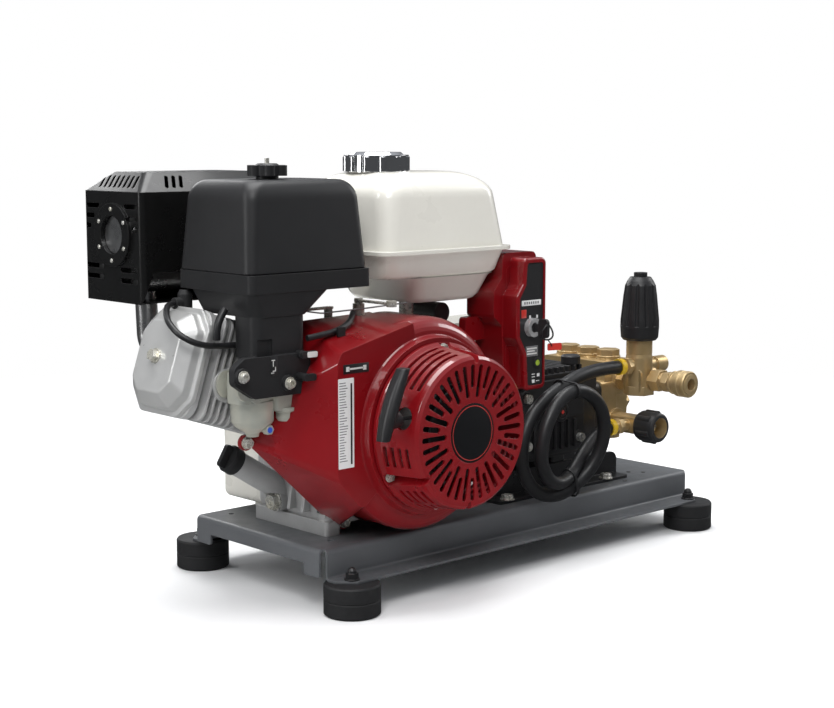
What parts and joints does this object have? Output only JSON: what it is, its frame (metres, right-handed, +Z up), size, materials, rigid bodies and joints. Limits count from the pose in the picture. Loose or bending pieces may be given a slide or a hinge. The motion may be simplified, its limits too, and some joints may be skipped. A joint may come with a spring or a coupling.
{
  "type": "engine-driven pressure washer pump unit",
  "caption": "Petrol engine and triplex plunger pump side by side on a bent steel base with rubber feet, joined by a belt drive, with unloader valve and quick-coupler outlet",
  "frame": {"origin": "centre of the four-foot pattern at floor level", "axes": "+X along the base plate from the engine to the pump, +Y towards the belt drive, +Z up"},
  "size_m": [0.8258, 0.4025, 0.5225],
  "materials": {
    "painted_steel": "grey powder coat on bent sheet, low sheen",
    "black_rubber": "moulded rubber with a matt skin",
    "zinc_steel": "bright zinc-plated fasteners",
    "black_steel": "black painted steel, semi-gloss",
    "cast_aluminium": "silver-painted die casting with fine grain",
    "pressed_aluminium": "bright silver paint, soft gloss",
    "black_hose": "smooth extruded rubber with slight sheen",
    "steel": "machined steel",
    "red_gloss": "deep red high-gloss paint",
    "black_plastic": "satin black moulded plastic, fine grain",
    "zinc_cast": "die-cast zinc with iridescent passivation",
    "filter_foam": "open foam over pleated paper",
    "cream_paint": "cream-white gloss paint",
    "chrome_cap": "bright chrome plate",
    "gloss_black": "gloss black heat-resistant enamel",
    "brass": "forged brass, lightly dulled",
    "pump_black": "black anodised casting, satin",
    "belt_rubber": "wrapped V-belt cloth rubber",
    "yellow_plastic": "yellow plastic ferrule",
    "grip_rubber": "black grip plastic"
  },
  "bodies": {
    "frame": {"base_plate": "painted_steel", "rubber_feet": "black_rubber", "frame_fasteners": "zinc_steel", "pump_bracket": "black_steel", "crankcase": "cast_aluminium", "crankcase_cover": "cast_aluminium", "cylinder_head": "cast_aluminium", "valve_cover": "pressed_aluminium", "engine_fasteners": "zinc_steel", "spark_plug": "black_rubber", "plug_lead": "black_hose", "starter_motor": "black_steel", "shroud": "red_gloss", "recoil_cover": "red_gloss", "carburettor": "zinc_cast", "float_bowl": "zinc_cast", "intake_box": "black_plastic", "filter_element": "filter_foam", "air_cleaner_cover": "black_plastic", "control_plate": "zinc_steel", "fuel_tank": "cream_paint", "muffler": "steel", "muffler_guard": "gloss_black", "control_box": "red_gloss", "control_panel": "black_plastic", "drive_belts": "belt_rubber", "belt_guard": "cream_paint", "pump_crankcase": "pump_black", "pump_side_covers": "pump_black", "pump_fasteners": "zinc_steel", "pump_head": "brass", "valve_caps": "brass", "unloader_body": "brass", "outlet_coupler": "brass", "inlet_fitting": "brass", "hose_rings": "yellow_plastic", "bypass_hose": "black_hose"},
    "engine_crank": {"crankshaft": "steel", "flywheel": "cast_aluminium", "engine_pulley": "steel"},
    "engine_piston": {"piston": "pressed_aluminium"},
    "starter_reel": {"recoil_reel": "black_plastic"},
    "starter_grip": {"recoil_grip": "grip_rubber"},
    "air_knob": {"wing_knob": "black_plastic"},
    "choke": {"choke_lever": "black_plastic"},
    "fuel_tap": {"fuel_lever": "black_plastic"},
    "throttle": {"throttle_lever": "zinc_steel"},
    "governor": {"governor_arm": "zinc_steel"},
    "filler_cap": {"tank_cap": "chrome_cap"},
    "key": {"ignition_key": "black_plastic"},
    "dipstick": {"dipstick_cap": "black_plastic"},
    "pump_crank": {"pump_crankshaft": "steel", "pump_pulley": "black_steel"},
    "pump_plunger_1": {"plunger_1": "steel"},
    "pump_plunger_2": {"plunger_2": "steel"},
    "pump_plunger_3": {"plunger_3": "steel"},
    "pump_filler": {"pump_oil_cap": "black_plastic"},
    "pressure_knob": {"unloader_knob": "grip_rubber"},
    "sleeve": {"coupler_sleeve": "brass"},
    "supply_nut": {"garden_nut": "black_plastic"}
  },
  "joints": [
    {"name": "engine_spin", "type": "hinge", "parent": "frame", "child": "engine_crank", "pos_m": [-0.194, 0, 0.206], "axis": [0, 1, 0], "continuous": true},
    {"name": "piston_travel", "type": "slide", "parent": "frame", "child": "engine_piston", "axis": [0.9489, 0, -0.3156], "range_m": [0, 0.064]},
    {"name": "starter_pull", "type": "slide", "parent": "frame", "child": "starter_grip", "axis": [-1, 0, 0], "range_m": [0, 0.07]},
    {"name": "reel_turn", "type": "hinge", "parent": "frame", "child": "starter_reel", "pos_m": [-0.194, -0.198, 0.206], "axis": [0, -1, 0], "range_deg": [0, 167.11]},
    {"name": "air_knob_turn", "type": "hinge", "parent": "frame", "child": "air_knob", "pos_m": [-0.3425, -0.04, 0.49], "axis": [0, 0, 1], "continuous": true},
    {"name": "choke_swing", "type": "hinge", "parent": "frame", "child": "choke", "pos_m": [-0.354, -0.115, 0.3], "axis": [0, 1, 0], "range_deg": [-35, 5]},
    {"name": "fuel_tap_swing", "type": "hinge", "parent": "frame", "child": "fuel_tap", "pos_m": [-0.357, -0.115, 0.276], "axis": [0, 1, 0], "range_deg": [-5, 35]},
    {"name": "throttle_swing", "type": "hinge", "parent": "frame", "child": "throttle", "pos_m": [-0.232, -0.07, 0.348], "axis": [0, 0, 1], "range_deg": [-12, 25]},
    {"name": "governor_swing", "type": "hinge", "parent": "frame", "child": "governor", "pos_m": [-0.262, -0.05, 0.34], "axis": [0, 0, 1], "range_deg": [-8, 8]},
    {"name": "filler_cap_turn", "type": "hinge", "parent": "frame", "child": "filler_cap", "pos_m": [-0.15, -0.01, 0.51], "axis": [0, 0, 1], "range_deg": [0, 90]},
    {"name": "key_turn", "type": "hinge", "parent": "frame", "child": "key", "pos_m": [0.002, -0.14, 0.304], "axis": [0, -1, 0], "range_deg": [-60, 30]},
    {"name": "dipstick_turn", "type": "hinge", "parent": "frame", "child": "dipstick", "pos_m": [-0.3, 0.015, 0.126], "axis": [-0.848, 0, 0.5299], "continuous": true},
    {"name": "pump_spin", "type": "hinge", "parent": "frame", "child": "pump_crank", "pos_m": [0.071, 0, 0.17], "axis": [0, 1, 0], "continuous": true},
    {"name": "plunger_travel_1", "type": "slide", "parent": "frame", "child": "pump_plunger_1", "axis": [1, 0, 0], "range_m": [-0.0055, 0.0055]},
    {"name": "plunger_travel_2", "type": "slide", "parent": "frame", "child": "pump_plunger_2", "axis": [1, 0, 0], "range_m": [-0.0055, 0.0055]},
    {"name": "plunger_travel_3", "type": "slide", "parent": "frame", "child": "pump_plunger_3", "axis": [1, 0, 0], "range_m": [-0.0055, 0.0055]},
    {"name": "pump_filler_turn", "type": "hinge", "parent": "frame", "child": "pump_filler", "pos_m": [0.136, -0.078, 0.245], "axis": [0, 0, 1], "continuous": true},
    {"name": "pressure_set", "type": "hinge", "parent": "frame", "child": "pressure_knob", "pos_m": [0.216, -0.13, 0.3], "axis": [0, 0, 1], "range_deg": [-360, 360]},
    {"name": "sleeve_slide", "type": "slide", "parent": "frame", "child": "sleeve", "axis": [0, 1, 0], "range_m": [0, 0.006], "stiffness_N_per_m": 300},
    {"name": "supply_nut_turn", "type": "hinge", "parent": "frame", "child": "supply_nut", "pos_m": [0.212, -0.155, 0.155], "axis": [0, -1, 0], "continuous": true}
  ],
  "couplings": [
    {"joint": "pump_spin", "follows": "engine_spin", "ratio": 0.4271},
    {"joint": "reel_turn", "follows": "starter_pull", "rad_per_m": 41.667}
  ]
}
